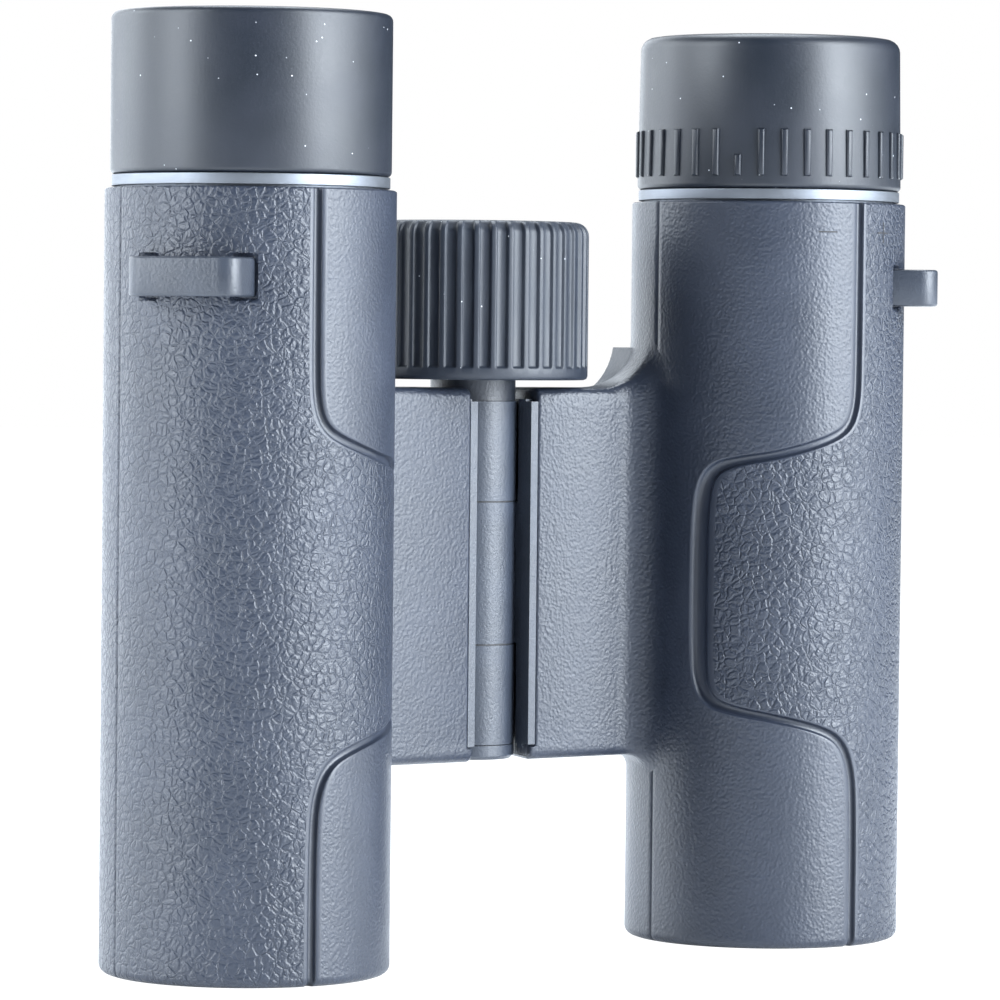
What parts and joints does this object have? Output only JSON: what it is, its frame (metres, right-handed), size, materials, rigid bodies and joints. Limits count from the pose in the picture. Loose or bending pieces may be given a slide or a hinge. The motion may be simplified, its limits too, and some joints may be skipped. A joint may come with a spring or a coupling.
{
  "type": "binoculars",
  "caption": "Compact roof-prism binoculars with rubber armour, one central hinge, a large ribbed focus wheel and rubber eyecups.",
  "frame": {"origin": "bottom centre of the object, which stands on its two objective ends", "axes": "+Z from objectives to eyepieces along both barrels, -Y towards the underside with the open hinge slot, +X towards the barrel with the dioptre ring"},
  "size_m": [0.1108, 0.0388, 0.1052],
  "materials": {
    "armour_rubber": "fine pebble grain, leather grain on the outer panels",
    "housing_plastic": "satin moulded",
    "eyecup_rubber": "smooth matte",
    "grip_rubber": "ribbed matte",
    "wheel_plastic": "satin",
    "trim_metal": "satin, clear anodised",
    "lug_plastic": "smooth satin",
    "ring_plastic": "matte black",
    "black_alloy": "black anodised",
    "seal_rubber": "smooth",
    "lens_glass": "coated, polished",
    "prism_glass": "polished",
    "steel": "turned",
    "brass": "turned",
    "washer_plastic": "plain"
  },
  "bodies": {
    "root": {"focus_bush": "brass", "friction_washers": "washer_plastic", "hinge_cover": "housing_plastic", "hinge_end_cap": "housing_plastic", "hinge_tube": "steel", "left_armour": "armour_rubber", "left_cup_ring": "ring_plastic", "left_eye_lens": "lens_glass", "left_eye_retainer": "ring_plastic", "left_eyecup": "eyecup_rubber", "left_eyepiece_tube": "ring_plastic", "left_field_lens": "lens_glass", "left_field_stop": "ring_plastic", "left_half_penta_prism": "prism_glass", "left_housing": "housing_plastic", "left_objective_cell": "black_alloy", "left_objective_front": "lens_glass", "left_objective_rear": "lens_glass", "left_objective_retainer": "black_alloy", "left_objective_seal": "seal_rubber", "left_prism_cage": "ring_plastic", "left_roof_prism": "prism_glass", "left_strap_lug": "lug_plastic", "left_trim_ring": "trim_metal"},
    "right_barrel": {"right_armour": "armour_rubber", "right_half_penta_prism": "prism_glass", "right_housing": "housing_plastic", "right_objective_cell": "black_alloy", "right_objective_front": "lens_glass", "right_objective_rear": "lens_glass", "right_objective_retainer": "black_alloy", "right_objective_seal": "seal_rubber", "right_prism_cage": "ring_plastic", "right_roof_prism": "prism_glass", "right_strap_lug": "lug_plastic", "right_trim_ring": "trim_metal"},
    "focus_wheel": {"wheel_hub": "wheel_plastic", "wheel_cap": "wheel_plastic", "wheel_screw": "steel", "wheel_grip": "grip_rubber", "focus_spindle": "steel"},
    "focus_carrier": {"focus_carrier": "brass"},
    "left_focus_group": {"left_focus_arm": "black_alloy", "left_focus_cell": "black_alloy", "left_focus_lens": "lens_glass"},
    "right_focus_group": {"right_focus_arm": "black_alloy", "right_focus_cell": "black_alloy", "right_focus_lens": "lens_glass"},
    "dioptre_ring": {"dioptre_ring": "ring_plastic", "right_eyecup": "eyecup_rubber"},
    "right_eyepiece": {"right_eyepiece_tube": "ring_plastic", "right_field_stop": "ring_plastic", "right_field_lens": "lens_glass", "right_eye_lens": "lens_glass", "right_eye_retainer": "ring_plastic"}
  },
  "joints": [
    {"name": "fold", "type": "hinge", "parent": "root", "child": "right_barrel", "pos_m": [0, 0.00622, 0.043], "axis": [0, 0, -1], "range_deg": [0, 54]},
    {"name": "focus_turn", "type": "hinge", "parent": "root", "child": "focus_wheel", "pos_m": [0, 0.00622, 0.074], "axis": [0, 0, 1], "range_deg": [-225, 225]},
    {"name": "carrier_slide", "type": "slide", "parent": "root", "child": "focus_carrier", "axis": [0, 0, 1], "range_m": [-0.00125, 0.00125]},
    {"name": "left_focus_slide", "type": "slide", "parent": "root", "child": "left_focus_group", "axis": [0, 0, 1], "range_m": [-0.00125, 0.00125]},
    {"name": "right_focus_slide", "type": "slide", "parent": "right_barrel", "child": "right_focus_group", "axis": [0, 0, 1], "range_m": [-0.00125, 0.00125]},
    {"name": "dioptre_turn", "type": "hinge", "parent": "right_barrel", "child": "dioptre_ring", "pos_m": [0.0361, -0.00244, 0.092], "axis": [0, 0, 1], "range_deg": [-60, 60]},
    {"name": "eyepiece_slide", "type": "slide", "parent": "right_barrel", "child": "right_eyepiece", "axis": [0, 0, 1], "range_m": [-0.0008, 0.0008]}
  ],
  "couplings": [
    {"joint": "focus_turn", "follows": "carrier_slide", "rad_per_m": 3141.3},
    {"joint": "left_focus_slide", "follows": "carrier_slide", "ratio": 1},
    {"joint": "right_focus_slide", "follows": "carrier_slide", "ratio": 1},
    {"joint": "dioptre_turn", "follows": "eyepiece_slide", "rad_per_m": 1308.9}
  ]
}
